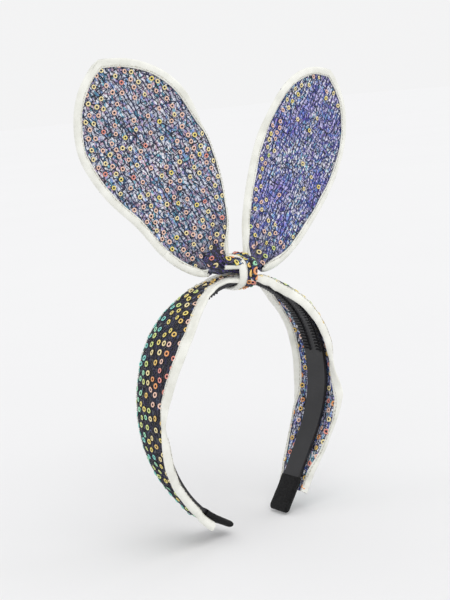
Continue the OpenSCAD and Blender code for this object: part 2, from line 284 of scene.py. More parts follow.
def satin_material(name, bright, shade):
    """Bias-cut satin: fine diagonal ribs, with a soft drift in its tone."""
    made = start_material(name, Roughness=0.42, Sheen_Weight=0.3, Sheen_Roughness=0.4)
    place = cloth_place(made)
    tone = ramp(made, noise(made, place, 0.11), [(0.3, shade), (0.62, bright)])
    ribs_at = cloth_place(made, turn=math.radians(42))
    inputs = {"Vector": ribs_at, "Scale": 0.62, "Distortion": 0.6, "Detail": 1.0}
    ribs = add(made, "ShaderNodeTexWave", inputs, bands_direction="X").outputs["Fac"]
    ribbed = ramp(made, ribs, [(0.1, (0.86, 0.86, 0.84, 1)), (0.7, FULL)])
    feed(made, "Base Color", multiplied(made, 0.7, tone, ribbed))
    bump(made, ribs, 0.25, 0.06)
    return made


def felt_material():
    made = start_material("black_felt", Roughness=0.95, Sheen_Weight=0.06, Specular_IOR_Level=0.25)
    place = solid_place(made, 1000)
    stops = [(0.35, linear(12, 12, 13)), (0.7, linear(34, 34, 35))]
    feed(made, "Base Color", ramp(made, noise(made, place, 0.9, 6.0), stops))
    bump(made, noise(made, place, 2.6, 5.0), 0.6, 0.25)
    return made


def plastic_material():
    """Moulded plastic: charcoal, with a satin face, faint flow marks and rubbed patches."""
    made = start_material("moulded_plastic", Specular_IOR_Level=0.4)
    place = solid_place(made, 1000)
    stops = [(0.3, linear(34, 34, 37)), (0.7, linear(44, 44, 47))]
    feed(made, "Base Color", ramp(made, noise(made, place, 0.05, 4.0), stops))
    stops = [(0.3, (0.34, 0.34, 0.34, 1)), (0.7, (0.5, 0.5, 0.5, 1))]
    feed(made, "Roughness", ramp(made, noise(made, place, 0.09, 5.0), stops))
    bump(made, noise(made, place, 1.6, 3.0), 0.12, 0.05)
    return made


def wire_material():
    made = start_material("steel_wire", Metallic=0.9, Specular_IOR_Level=0.5)
    place = cloth_place(made)
    stops = [(0.35, linear(120, 120, 124)), (0.65, linear(168, 168, 172))]
    feed(made, "Base Color", ramp(made, noise(made, place, 0.4), stops))
    worn = ramp(made, noise(made, place, 0.8), [(0.3, (0.3, 0.3, 0.3, 1)), (0.7, (0.5, 0.5, 0.5, 1))])
    feed(made, "Roughness", worn)
    return made


WHITE = linear(248, 248, 252)
PALE_GREY = linear(214, 216, 224)
LILAC = linear(190, 176, 226)
SKY = linear(150, 186, 238)
AQUA = linear(134, 200, 216)
TEAL = linear(72, 138, 164)
VIOLET = linear(112, 88, 188)
ROSE = linear(222, 184, 200)
SLATE = linear(84, 92, 122)
BLUE = linear(72, 96, 190)
INK = linear(20, 20, 38)
NAVY = linear(26, 30, 66)

film_left = film_material(
    "shot_lining_left",
    [WHITE, PALE_GREY, WHITE, SKY, WHITE, ROSE, WHITE, PALE_GREY, AQUA, WHITE, LILAC, WHITE, ROSE, TEAL],
    linear(196, 210, 232), 0.5, 34)
film_right = film_material(
    "shot_lining_right", [WHITE, SKY, WHITE, LILAC, WHITE, BLUE, SKY, WHITE, AQUA, WHITE, WHITE, VIOLET],
    linear(186, 172, 246), 0.8, 28)
film_dark = film_material(
    "shot_cloth_cover", [INK, NAVY, SLATE, INK, VIOLET, INK, SKY, NAVY, TEAL, INK, INK],
    linear(110, 110, 140), 0.9, 0.01)
film_inside = film_material(
    "shot_lining_cover", [WHITE, SKY, WHITE, LILAC, SLATE, AQUA, WHITE, PALE_GREY, BLUE, WHITE, INK],
    linear(180, 186, 220), 0.6, 0.01)
film_neck = film_material(
    "shot_cloth_neck", [INK, INK, NAVY, SLATE, INK, VIOLET, INK], linear(110, 110, 150), 0.8, 0.01)
film_knot = film_material(
    "shot_cloth_knot", [INK, SLATE, NAVY, SKY, INK, VIOLET, LILAC, INK, TEAL],
    linear(110, 110, 150), 0.6, 0.01)
thread_left = thread_material("net_thread_left", linear(8, 10, 32), linear(34, 48, 92))
thread_right = thread_material("net_thread_right", linear(10, 12, 46), linear(40, 56, 118))
thread_cover = thread_material("net_thread_cover", linear(18, 18, 34), linear(40, 38, 72))
satin = satin_material("ivory_satin", linear(250, 250, 243), linear(230, 230, 221))
stitching = thread_material("ivory_stitching", linear(196, 194, 180), linear(226, 224, 212))
felt = felt_material()
plastic = plastic_material()
steel = wire_material()

TINTS = {
    "aqua": (132, 220, 208),
    "mint": (164, 232, 190),
    "lime": (220, 234, 140),
    "yellow": (248, 228, 122),
    "cream": (252, 234, 172),
    "gold": (246, 206, 112),
    "peach": (248, 206, 184),
    "orange": (246, 168, 104),
    "coral": (236, 150, 134),
}
TINT_NAMES = list(TINTS)
sequin_materials = [
    start_material(f"sequin_{name}", Base_Color=linear(*TINTS[name]), Metallic=0.1, Roughness=0.3,
                   Coat_Weight=0.5, Coat_Roughness=0.12)
    for name in TINT_NAMES]


# ---- meshes ----

def new_object(name, data):
    made = bpy.data.objects.new(name, data)
    bpy.context.scene.collection.objects.link(made)
    return made


def new_piece(name, points, faces, flat, materials, pick=None):
    """A smooth mesh from points in mm, with flat cloth coordinates. Pick gives each face's material."""
    mesh = bpy.data.meshes.new(name)
    faces = faces.tolist() if isinstance(faces, np.ndarray) else faces
    mesh.from_pydata((np.asarray(points) * MM).tolist(), [], faces)
    for made in materials:
        mesh.materials.append(made)
    if pick is not None:
        mesh.polygons.foreach_set("material_index", np.asarray(pick, np.int32))
    layer = mesh.uv_layers.new(name="cloth")
    corners = np.zeros(len(mesh.loops), np.int32)
    mesh.loops.foreach_get("vertex_index", corners)
    layer.data.foreach_set("uv", np.asarray(flat, np.float32)[corners].ravel())
    mesh.shade_smooth()
    return new_object(name, mesh)


def grid_faces(rows, columns, closed=False):
    """Faces between neighbouring rows of points."""
    across = columns if closed else columns - 1
    r, c = np.meshgrid(np.arange(rows - 1), np.arange(across), indexing="ij")
    a = (r * columns + c).ravel()
    b = (r * columns + (c + 1) % columns).ravel()
    return np.stack([a, b, b + columns, a + columns], axis=1)


class Surface:
    """A curved cloth. It is called with flat coordinates and a height above the cloth's face."""

    def __init__(self, middle, facing=1):
        self.middle = middle
        self.facing = facing

    def __call__(self, u, v, h=0.0):
        u, v = np.asarray(u, float), np.asarray(v, float)
        e = 0.15
        along = self.middle(u + e, v) - self.middle(u - e, v)
        across = self.middle(u, v + e) - self.middle(u, v - e)
        normal = self.facing * unit(np.cross(along, across))
        return self.middle(u, v) + np.asarray(h)[..., None] * normal


def cloth_sheet(name, surface, levels, low, high, columns, height, made):
    """A sheet between two edges, which are functions of the first flat coordinate."""
    share = np.linspace(0, 1, columns)
    u = np.repeat(levels, columns)
    v = np.concatenate([mix(low(level), high(level), share) for level in levels])
    points = surface(u, v, np.full(len(u), float(height)))
    piece = new_piece(name, points, grid_faces(len(levels), columns), np.stack([u, v], 1), [made])
    widths = np.array([float(high(level) - low(level)) for level in levels])
    area = float(np.sum((widths[1:] + widths[:-1]) / 2 * np.diff(levels)))
    return piece, area * MM * MM


def crackle(start, end, low, high, cell, seed):
    """An irregular net between two edges. Gives the two ends of each thread in flat coordinates."""
    rng = np.random.default_rng(seed)
    levels = np.linspace(start, end, 60)
    bottom, top = float(min(low(k) for k in levels)), float(max(high(k) for k in levels))
    step_u, step_v = cell[0] / 2, cell[1]
    columns, rows = int((end - start) / step_u) + 1, int((top - bottom) / step_v) + 2
    i, j = np.meshgrid(np.arange(columns), np.arange(rows), indexing="ij")
    lean = np.where((i + j) % 2, 0.2, -0.2)
    u = start + step_u * (i + rng.normal(0, 0.3, i.shape))
    v = bottom + step_v * (j + lean + rng.normal(0, 0.22, i.shape))
    node = np.stack([u, v], -1)
    linked = (i + j)[:, :-1] % 2 == 0
    steps = [(node[:-1], node[1:]), (node[:, :-1][linked], node[:, 1:][linked])]
    first = np.concatenate([a.reshape(-1, 2) for a, b in steps])
    last = np.concatenate([b.reshape(-1, 2) for a, b in steps])
    kept = rng.uniform(size=len(first)) > 0.07
    for point in (first, last):
        reach = np.clip(point[:, 0], start, end)
        limits = np.array([(low(k), high(k)) for k in reach])
        inside = (point[:, 1] > limits[:, 0]) & (point[:, 1] < limits[:, 1])
        kept &= inside & (point[:, 0] >= start) & (point[:, 0] <= end)
    return first[kept], last[kept]


def threads(name, surface, ends, radius, height, made, seed):
    """Fine threads laid on a surface: each is a short tube that is thickest where it meets the next."""
    rng = np.random.default_rng(seed)
    first, last = ends
    count = len(first)
    run = last - first
    side = unit(np.stack([-run[:, 1], run[:, 0]], 1))
    bow = rng.normal(0, 0.1, count) * np.linalg.norm(run, axis=1)
    girth = radius * rng.uniform(0.65, 1.35, count)
    heights = np.broadcast_to(height, (count,))
    rows, flats = [], []
    for t in (0, 0.5, 1):
        arch = 4 * t * (1 - t)
        centre = first + run * t + side * (bow * arch)[:, None]
        width = girth * (1.25 - 0.5 * arch)
        for sideways, up in ((1, 0), (0, 1), (-1, 0), (0, -1)):
            spot = centre + side * (sideways * width)[:, None]
            rows.append(surface(spot[:, 0], spot[:, 1], heights + up * width * 0.85))
            flats.append(spot)
    points = np.stack(rows, 1).reshape(-1, 3)
    flat = np.stack(flats, 1).reshape(-1, 2)
    one = grid_faces(3, 4, closed=True)
    faces = (one[None] + 12 * np.arange(count)[:, None, None]).reshape(-1, 4)
    return new_piece(name, points, faces, flat, [made])


def scatter(count, start, end, low, high, margin, spacing, likely, seed):
    """Spots at least a spacing apart between two edges, crowded where likely(u, share) is high."""
    rng = np.random.default_rng(seed)
    spots = np.zeros((0, 2))
    for _ in range(count * 40):
        u, share, chance = rng.uniform(start, end), rng.uniform(), rng.uniform()
        v = mix(low(u) + margin, high(u) - margin, share)
        if chance > likely(u, share):
            continue
        if len(spots) and np.min(np.hypot(spots[:, 0] - u, spots[:, 1] - v)) < spacing:
            continue
        spots = np.append(spots, [[u, v]], axis=0)
        if len(spots) == count:
            break
    return spots


RING_AROUND = 12
RING_SECTION = ((1.52, 0.0), (1.38, 0.3), (0.92, 0.36), (0.62, 0.08))


def rings(name, surface, spots, tint, height, knots, seed, scale=1.0):
    """Ring sequins, each a little tilted, held by a dark stitch in its middle."""
    rng = np.random.default_rng(seed)
    count = len(spots)
    tilt = rng.normal(0, 0.1, (2, count))
    size = scale * rng.uniform(0.92, 1.06, count)
    lift = np.sign(height)
    rows, flats = [], []
    for k in range(RING_AROUND):
        angle = 2 * math.pi * k / RING_AROUND
        for radius, up in RING_SECTION:
            du, dv = radius * size * math.cos(angle), radius * size * math.sin(angle)
            heights = height + lift * (up + du * tilt[0] + dv * tilt[1])
            rows.append(surface(spots[:, 0] + du, spots[:, 1] + dv, heights))
            flats.append(np.stack([spots[:, 0] + du, spots[:, 1] + dv], 1))
    one = grid_faces(RING_AROUND + 1, 4, closed=True) % (RING_AROUND * 4)
    for k in range(4):
        angle = math.pi / 2 * k
        du, dv = 0.5 * math.cos(angle), 0.5 * math.sin(angle)
        rows.append(surface(spots[:, 0] + du, spots[:, 1] + dv, np.full(count, height * 0.4)))
        flats.append(spots)
    rows.append(surface(spots[:, 0], spots[:, 1], np.full(count, height + lift * 0.3)))
    flats.append(spots)
    base = RING_AROUND * 4
    bead = np.array([(base + k, base + (k + 1) % 4, base + 4, base + 4) for k in range(4)])
    per = base + 5
    points = np.stack(rows, 1).reshape(-1, 3)
    flat = np.stack(flats, 1).reshape(-1, 2)
    start = per * np.arange(count)[:, None, None]
    quads = (one[None] + start).reshape(-1, 4)
    beads = (bead[None, :, :3] + start).reshape(-1, 3)
    pick = np.concatenate([np.repeat(tint, len(one)), np.full(len(beads), len(TINT_NAMES))])
    faces = quads.tolist() + beads.tolist()
    return new_piece(name, points, faces, flat, [*sequin_materials, knots], pick)


def fix_to_root(pieces):
    for piece in pieces:
        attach(piece, "root")


def edge_line(points, side):
    """Points along an edge with the direction into the cloth at each one."""
    run = unit(np.gradient(points, axis=0))
    return points, side * np.stack([run[:, 1], -run[:, 0]], 1)


def straight_edge(u):
    """As edge_line, for a straight edge that runs along the first flat coordinate."""
    return np.stack([u, 0 * u], 1), np.stack([0 * u, 1 + 0 * u], 1)


def run_length(points):
    return np.concatenate([[0], np.cumsum(np.linalg.norm(np.diff(points, axis=0), axis=1))])


def along_route(route, at):
    """Places at given lengths along a route of points."""
    length = run_length(route)
    return np.stack([np.interp(at, length, column) for column in route.T], 1)


def fold_profile(width, half):
    """Folded strip from its front hem round the edge to its back hem, as pairs of inward and height."""
    front = [(width - 0.9, 0.42), (width, 0.45), (width - 0.1, half * 0.8), (width - 0.9, half),
             (width * 0.55, half * 1.12), (1.0, half), (0.25, half * 0.72), (-0.05, 0.3)]
    back = [(q, -h) for q, h in reversed(front)]
    return np.array(front + back)


def edge_sweep(name, surface, line, profile, closed, made, pucker, seed):
    """A strip or wire that follows an edge, with small puckers along it."""
    points, inward = line
    length = run_length(points)
    arc = run_length(profile)
    rows, flats = [], []
    for k, (q, h) in enumerate(profile):
        wander = 1 + 0.05 * ripple(length, length * 0, 14, seed + 7)
        place = points + inward * (q * wander)[:, None]
        puff = 1 + pucker * ripple(length, np.full(len(length), q), 6.5, seed)
        rows.append(surface(place[:, 0], place[:, 1], h * puff))
        flats.append(np.stack([length, np.full(len(length), arc[k])], 1))
    mesh_points = np.stack(rows, 1).reshape(-1, 3)
    flat = np.stack(flats, 1).reshape(-1, 2)
    faces = grid_faces(len(points), len(profile), closed)
    return new_piece(name, mesh_points, faces, flat, [made])


def stitches(name, surface, line, inset, height, seed):
    """A row of machine stitches on both faces of a binding."""
    points, inward = line
    length = run_length(points)
    at = np.arange(STITCH_PITCH, length[-1] - STITCH_PITCH, STITCH_PITCH)
    spots = []
    for shift in (-0.32 * STITCH_PITCH, 0.32 * STITCH_PITCH):
        place = [np.interp(at + shift, length, points[:, k] + inset * inward[:, k]) for k in (0, 1)]
        spots.append(np.stack(place, 1))
    first, last = spots
    ends = np.concatenate([first, first]), np.concatenate([last, last])
    heights = np.repeat([height, -height], len(first))
    return threads(name, surface, ends, 0.2, heights, stitching, seed)


def tube(name, route, radius, sides, made, phase=0.0):
    """A round tube along a route of points."""
    run = unit(np.gradient(route, axis=0))
    side = unit(np.cross(run, (0.02, 1, 0.03)))
    up = np.cross(side, run)
    angles = np.linspace(0, 2 * math.pi, sides, endpoint=False) + phase
    ring = np.cos(angles)[None, :, None] * side[:, None] + np.sin(angles)[None, :, None] * up[:, None]
    points = (route[:, None] + radius * ring).reshape(-1, 3)
    length = np.repeat(run_length(route), sides)
    flat = np.stack([length, np.tile(angles * radius, len(route))], 1)
    return new_piece(name, points, grid_faces(len(route), sides, closed=True), flat, [made])


# ---- the hoop's line ----

def arm_xz(d, out, arm):
    """Place in the XZ plane of a point a distance d down an arm, and out from the hoop's inner face."""
    side_radius, side_angle, tip_radius = arm
    side_end = CROWN_LENGTH + side_radius * (side_angle - CROWN_ANGLE)
    on_side, on_tip = d >= CROWN_LENGTH, d >= side_end
    turn = np.where(on_side, CROWN_ANGLE + (d - CROWN_LENGTH) / side_radius, d / CROWN_RADIUS)
    turn = np.where(on_tip, side_angle + (d - side_end) / tip_radius, turn)
    radius = np.where(on_tip, tip_radius, np.where(on_side, side_radius, CROWN_RADIUS))
    side_shift, tip_shift = CROWN_RADIUS - side_radius, side_radius - tip_radius
    x = np.where(on_side, side_shift * math.sin(CROWN_ANGLE), 0)
    z = np.where(on_side, side_shift * math.cos(CROWN_ANGLE), 0) - CROWN_RADIUS
    x = x + np.where(on_tip, tip_shift * math.sin(side_angle), 0)
    z = z + np.where(on_tip, tip_shift * math.cos(side_angle), 0)
    return x + (radius + out) * np.sin(turn), z + (radius + out) * np.cos(turn)


def hoop_xz(s, out):
    """As arm_xz, with s positive down the right arm and negative down the left one."""
    s = np.asarray(s, float)
    left_x, left_z = arm_xz(np.abs(s), out, LEFT_ARM)
    right_x, right_z = arm_xz(np.abs(s), out, RIGHT_ARM)
    return np.where(s < 0, -left_x, right_x), np.where(s < 0, left_z, right_z)


# ---- cover ----

def cover_half(s):
    k = np.abs(s) / COVER_END
    swell = blend((k - SWELL_START) / SWELL_RISE) * (1 - blend((k - SWELL_STOP) / SWELL_FALL))
    base = mix(COVER_KNOT_WIDTH, COVER_TIP_WIDTH, blend(k))
    return mix(base, COVER_WIDTH, swell) / 2


def cover_reach(s, side):
    """The front half is trimmed low on both arms, and more so on the left one."""
    half = cover_half(s)
    trim = np.where(s < 0, LEFT_TRIM, RIGHT_TRIM) * blend((np.abs(s) - TRIM_START) / TRIM_SOFT)
    return np.where(side < 0, np.maximum(np.minimum(half, LEAST_REACH), half - trim), half)


# How far each free edge is rolled in radians, and where that starts, ends and softens along the hoop.
REAR_ROLLS = ((1.55, -180, -14, 12), (-1.5, 112, 190, 22))
FRONT_ROLLS = ((-2.3, -210, -100, 34), (1.9, -2, 110, 36), (-3.2, 92, 230, 44))
COVER_ROLL_WIDTH = 8
UNROLLED = 3.4


def cover_roll(s, side):
    """The roll of an edge in radians: towards the head, or outwards where it is negative."""
    front, rear = (sum(angle * window(s, *place) for angle, *place in rolls)
                   for rolls in (FRONT_ROLLS, REAR_ROLLS))
    return np.where(side < 0, front, rear)


def roll_width(s, side):
    return np.minimum(COVER_ROLL_WIDTH, cover_reach(s, side) - UNROLLED)


def rolled(distance, width, angle):
    """How far and how deep the points of an edge strip reach when it is rolled through an angle."""
    bend = np.maximum(angle, 1e-4) / width
    return np.sin(bend * distance) / bend, (1 - np.cos(bend * distance)) / bend


def farthest(width, angle):
    """How far out a strip still reaches once it is rolled."""
    bend = np.maximum(angle, 1e-4)
    return width * np.sin(np.minimum(bend, math.pi / 2)) / bend


def cover_edge(s, side):
    """The cloth's edge. It is wider where it is rolled, so that the cover looks as wide as it should."""
    width = roll_width(s, side)
    angle = np.abs(cover_roll(s, side))
    return cover_reach(s, side) + width - farthest(width, angle) + 0.9 * blend(angle)


def cover_middle(s, y):
    """The cover lies on the hoop and turns in past its edges, which roll over in places."""
    side = np.where(y < 0, -1, 1)
    edge, width, angle = cover_edge(s, side), roll_width(s, side), cover_roll(s, side)
    strip = np.clip(np.abs(y) - edge + width, 0, width + 2)
    reach, depth = rolled(strip, width, np.abs(angle))
    flat = np.where(strip > 0, edge - width + reach, np.abs(y))
    past = np.maximum(0, flat - HOOP_HALF_WIDTH)
    cup = COVER_CUP * blend((cover_reach(s, side) - HOOP_HALF_WIDTH - 1) / 5)
    lift = 1.0 * blend((np.abs(s) - SLEEVE_START + 8) / 6)
    gather = 0.35 * np.sin(y * 2.1 + 0.4 * np.sin(s * 0.2)) * (1 - blend((np.abs(s) - 12) / 26))
    loose = 0.14 * ripple(s, y, 17, 5) + 0.025 * past * ripple(s, y * 0.3, 32, 6)
    out = COVER_HEIGHT + lift - flat ** 2 / 800 - past * np.tan(cup) - np.sign(angle) * depth + gather + loose
    x, z = hoop_xz(s, out)
    return np.stack([x, side * flat + 0 * x, z], -1)


cover = Surface(cover_middle)


def cover_low(s):
    return 1 - cover_edge(s, -1)


def cover_high(s):
    return cover_edge(s, 1) - 1


def cover_reflection_tint(spots, rng):
    """Sequins run from aqua at the rear edge to coral at the front edge, and are cooler on the right arm.
    This run and the cooler right arm are painted iridescent reflection: the colour shift these sequins show
    with the angle they are seen at is set by their place, and the small random spread on top is their own
    tone.
    """
    warmth = 0.5 - spots[:, 1] / 36 + 0.12 * ripple(spots[:, 0], spots[:, 1], 50, 3)
    warmth = warmth - 0.25 * blend((np.abs(spots[:, 0]) - 110) / 50) - 0.4 * blend(spots[:, 0] / 25)
    warmth = warmth + rng.normal(0, 0.1, len(spots))
    return np.clip(warmth * 9, 0, 8).astype(int)


def build_cover():
    levels = np.linspace(-COVER_END, COVER_END, 240)
    outside, area = cloth_sheet("cover_cloth", cover, levels, cover_low, cover_high, 30, 0.12, film_dark)
    inside, _ = cloth_sheet("cover_lining", cover, levels, cover_low, cover_high, 30, -0.18, film_inside)
    net = crackle(-COVER_END, COVER_END, cover_low, cover_high, (3.0, 1.7), 11)
    outer_net = threads("cover_net_threads", cover, net, 0.27, 0.25, thread_cover, 12)
    sparse = crackle(-COVER_END, COVER_END, cover_low, cover_high, (3.4, 2.0), 13)
    inner_net = threads("cover_lining_threads", cover, sparse, 0.2, -0.28, thread_cover, 14)
    rng = np.random.default_rng(21)
    spots = scatter(430, -COVER_END + 3, COVER_END - 3, cover_low, cover_high, 3.4, 4.3,
                    lambda s, share: 0.25 + 0.75 * blend((abs(s) - 8) / 10), 22)
    # The sequins' tints by place are partly painted iridescent reflection.
    sequins = rings("cover_sequins", cover, spots, cover_reflection_tint(spots, rng), 0.5, thread_cover, 23)
    inner_spots = scatter(190, -COVER_END + 3, COVER_END - 3, cover_low, cover_high, 3.2, 5,
                          lambda s, share: float(abs(mix(cover_low(s), cover_high(s), share)) > 9.5), 24)
    inner_tint = rng.integers(4, 9, len(inner_spots))
    inner_sequins = rings("cover_lining_sequins", cover, inner_spots, inner_tint, -0.42, thread_cover, 25)
    fix_to_root([outside, inside, outer_net, inner_net, sequins, inner_sequins])
    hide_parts("cover_net")
    for sheet, sewn in ((outside, [outer_net, sequins]), (inside, [inner_net, inner_sequins])):
        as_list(sewn)
    for side, place in ((-1, "front"), (1, "rear")):
        s = np.linspace(-COVER_END, COVER_END, 330)
        line = edge_line(np.stack([s, side * cover_edge(s, side)], 1), side)
        strip = edge_sweep(f"cover_binding_{place}_strip", cover, line, fold_profile(BINDING_WIDTH, 1.0),
                           False, satin, 0.1, 31 + side)
        seam = stitches(f"cover_binding_{place}_stitches", cover, line, BINDING_WIDTH - STITCH_INSET, 1.08,
                        35 + side)
        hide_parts(f"cover_binding_{place}")
        length = run_length(line[0])[-1]
        fix_to_root([strip, seam])


# ---- end sleeves ----

def build_sleeve(side, name):
    """Felt drawn over the hoop's tip, a little slack, with a pinched and rounded end."""
    around, rows = 40, 44
    s = np.linspace(SLEEVE_START - 0.6, HALF_LENGTH + 0.95, rows)
    left = HALF_LENGTH + 0.95 - s
    close = np.sqrt(np.clip(left / 2.4, 0, 1) * (2 - np.clip(left / 2.4, 0, 1)))
    angle = np.linspace(0, 2 * math.pi, around, endpoint=False)
    points, flats = [], []
    for level, open_ in zip(s, close):
        y = np.sign(np.cos(angle)) * np.abs(np.cos(angle)) ** 0.35 * 7.6 * (0.86 + 0.14 * open_)
        h = np.sign(np.sin(angle)) * np.abs(np.sin(angle)) ** 0.6 * 1.95 * max(open_, 0.02)
        slack = 0.12 * ripple(np.full(around, level), y + 9 * np.sign(h), 7, 41)
        x, z = hoop_xz(np.full(around, side * level), HOOP_THICKNESS / 2 + h + slack * np.sign(h))
        points.append(np.stack([x, y, z], -1))
        flats.append(np.stack([np.full(around, level), angle * 3], -1))
    piece = new_piece(name, np.concatenate(points), grid_faces(rows, around, closed=True),
                      np.concatenate(flats), [felt])
    fix_to_root([piece])
    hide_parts(f"sleeve_{'left' if side < 0 else 'right'}")


# ---- knot ----

knot_low_corner, knot_high_corner = (np.array(corner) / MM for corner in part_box("knot_wrap"))
KNOT_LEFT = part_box("knot_binding")[0][0] / MM
KNOT_RIGHT = knot_high_corner[0]
KNOT_DEEP = (knot_high_corner[1] - knot_low_corner[1]) / 2 - 1.2
KNOT_TALL = (knot_high_corner[2] - knot_low_corner[2]) / 2 - 1.2
KNOT_MIDDLE = (knot_high_corner[2] + knot_low_corner[2]) / 2
KNOT_ROUND = 2 * math.pi * (KNOT_DEEP + KNOT_TALL) / 2 * 1.09


def knot_middle(u, v):
    """The loop round the crown: u runs round it, and v across its width from its satin edge."""
    angle = 2 * math.pi * u / KNOT_ROUND
    share = v / (KNOT_RIGHT - KNOT_LEFT)
    edge = np.clip(1 - 2 * np.minimum(share, 1 - share) / 0.42, 0, 2)
    pleats = np.sin(2 * math.pi * (3.1 * share + 0.22 * np.sin(angle + 0.6)))
    folds = 0.75 * pleats * blend((share - 0.3) / 0.2)
    roll = -1.5 * edge ** 2 * np.where(share > 0.5, 1, 0.35)
    out = roll + folds + 0.3 * ripple(u, v, 12, 51)
    y = np.sign(np.cos(angle)) * np.abs(np.cos(angle)) ** 0.72
    z = np.sign(np.sin(angle)) * np.abs(np.sin(angle)) ** 0.72
    sway = 1.3 * np.sin(angle) ** 2 - 0.6 * np.sin(angle) - 0.9
    x = KNOT_LEFT + v - sway * (1 - 0.7 * share)
    return np.stack([x, y * (KNOT_DEEP + out), KNOT_MIDDLE + z * (KNOT_TALL + out)], -1)


knot = Surface(knot_middle)


def build_knot():
    width = KNOT_RIGHT - KNOT_LEFT
    levels = np.linspace(0, KNOT_ROUND, 140)
    cloth, _ = cloth_sheet("knot_cloth", knot, levels, lambda u: 3.4, lambda u: width, 44, 0.0, film_knot)
    net = crackle(0, KNOT_ROUND, lambda u: 3.4, lambda u: width, (2.6, 1.5), 52)
    net_piece = threads("knot_net_threads", knot, net, 0.24, 0.18, thread_cover, 53)
    spots = scatter(52, 0, KNOT_ROUND, lambda u: 5.4, lambda u: width - 0.6, 0.4, 3.5,
                    lambda u, share: 1.0, 54)
    tint = np.random.default_rng(55).choice([1, 2, 3, 3, 5, 6, 7, 7, 8], len(spots))
    sequins = rings("knot_sequins", knot, spots, tint, 0.42, thread_cover, 56)
    u = np.linspace(0, KNOT_ROUND, 160)
    line = straight_edge(u)
    strip = edge_sweep("knot_satin_edge", knot, line, fold_profile(5.0, 1.0), False, satin, 0.16, 57)
    seam = stitches("knot_stitches", knot, line, 4.2, 1.08, 58)
    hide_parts("knot_wrap")
    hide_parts("knot_binding")
    fix_to_root([cloth, net_piece, sequins])
    fix_to_root([strip, seam])


tail_low, tail_high = (np.array(corner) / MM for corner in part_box("knot_tail"))
TAIL_LENGTH = tail_high[0] - tail_low[0] + 5
TAIL_ROUND = 9.5


def tail_middle(u, v):
    """The knot's tucked end: it comes out of the loop and turns over backwards in front of the left ear."""
    share = u / TAIL_LENGTH
    angle = v / TAIL_ROUND * 3.2 - 0.5
    x = tail_high[0] + 4 - u
    deep = 2.6 + 0.3 * np.sin(v * 2.4)
    y = tail_low[1] + 3.1 - deep * np.cos(angle - 0.6) + 2.5 * share ** 2
    z = tail_low[2] + 2.7 + 2.9 * np.sin(angle - 0.6) * (1 + 0.25 * share) + 1.6 * share
    return np.stack([x, y, z], -1)


tail = Surface(tail_middle, -1)


def build_tail():
    levels = np.linspace(0, TAIL_LENGTH, 30)
    cloth, _ = cloth_sheet("tail_cloth", tail, levels, lambda u: 0, lambda u: TAIL_ROUND, 26, 0.0, film_knot)
    net = crackle(0, TAIL_LENGTH, lambda u: 0.3, lambda u: TAIL_ROUND, (2.4, 1.4), 61)
    net_piece = threads("tail_net_threads", tail, net, 0.22, 0.15, thread_cover, 62)
    spots = scatter(5, 4, TAIL_LENGTH - 2, lambda u: 3.2, lambda u: TAIL_ROUND - 1, 0.3, 3.3,
                    lambda u, share: 1.0, 64)
    tint = np.array([3, 7, 3, 5, 8])[:len(spots)]
    sequins = rings("tail_sequins", tail, spots, tint, 0.4, thread_cover, 65)
    line = straight_edge(levels)
    strip = edge_sweep("tail_satin_edge", tail, line, fold_profile(2.6, 0.7), False, satin, 0.12, 66)
    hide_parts("knot_tail")
    fix_to_root([cloth, net_piece, sequins])
    fix_to_root([strip])


# ---- ears ----

joints = {joint["name"]: joint for joint in frame["joints"]}
outer_points = bezier(OUTER_CURVE, np.linspace(0, 1, 400))
inner_points = bezier(INNER_CURVE, np.linspace(0, 1, 400))
ROLL_WIDTH = 9.0
EAR_RING_SCALE = 0.86
EDGE_START = 0.4
EDGE_PITCH = 1.2
SPLIT_OVERLAP = 0.8


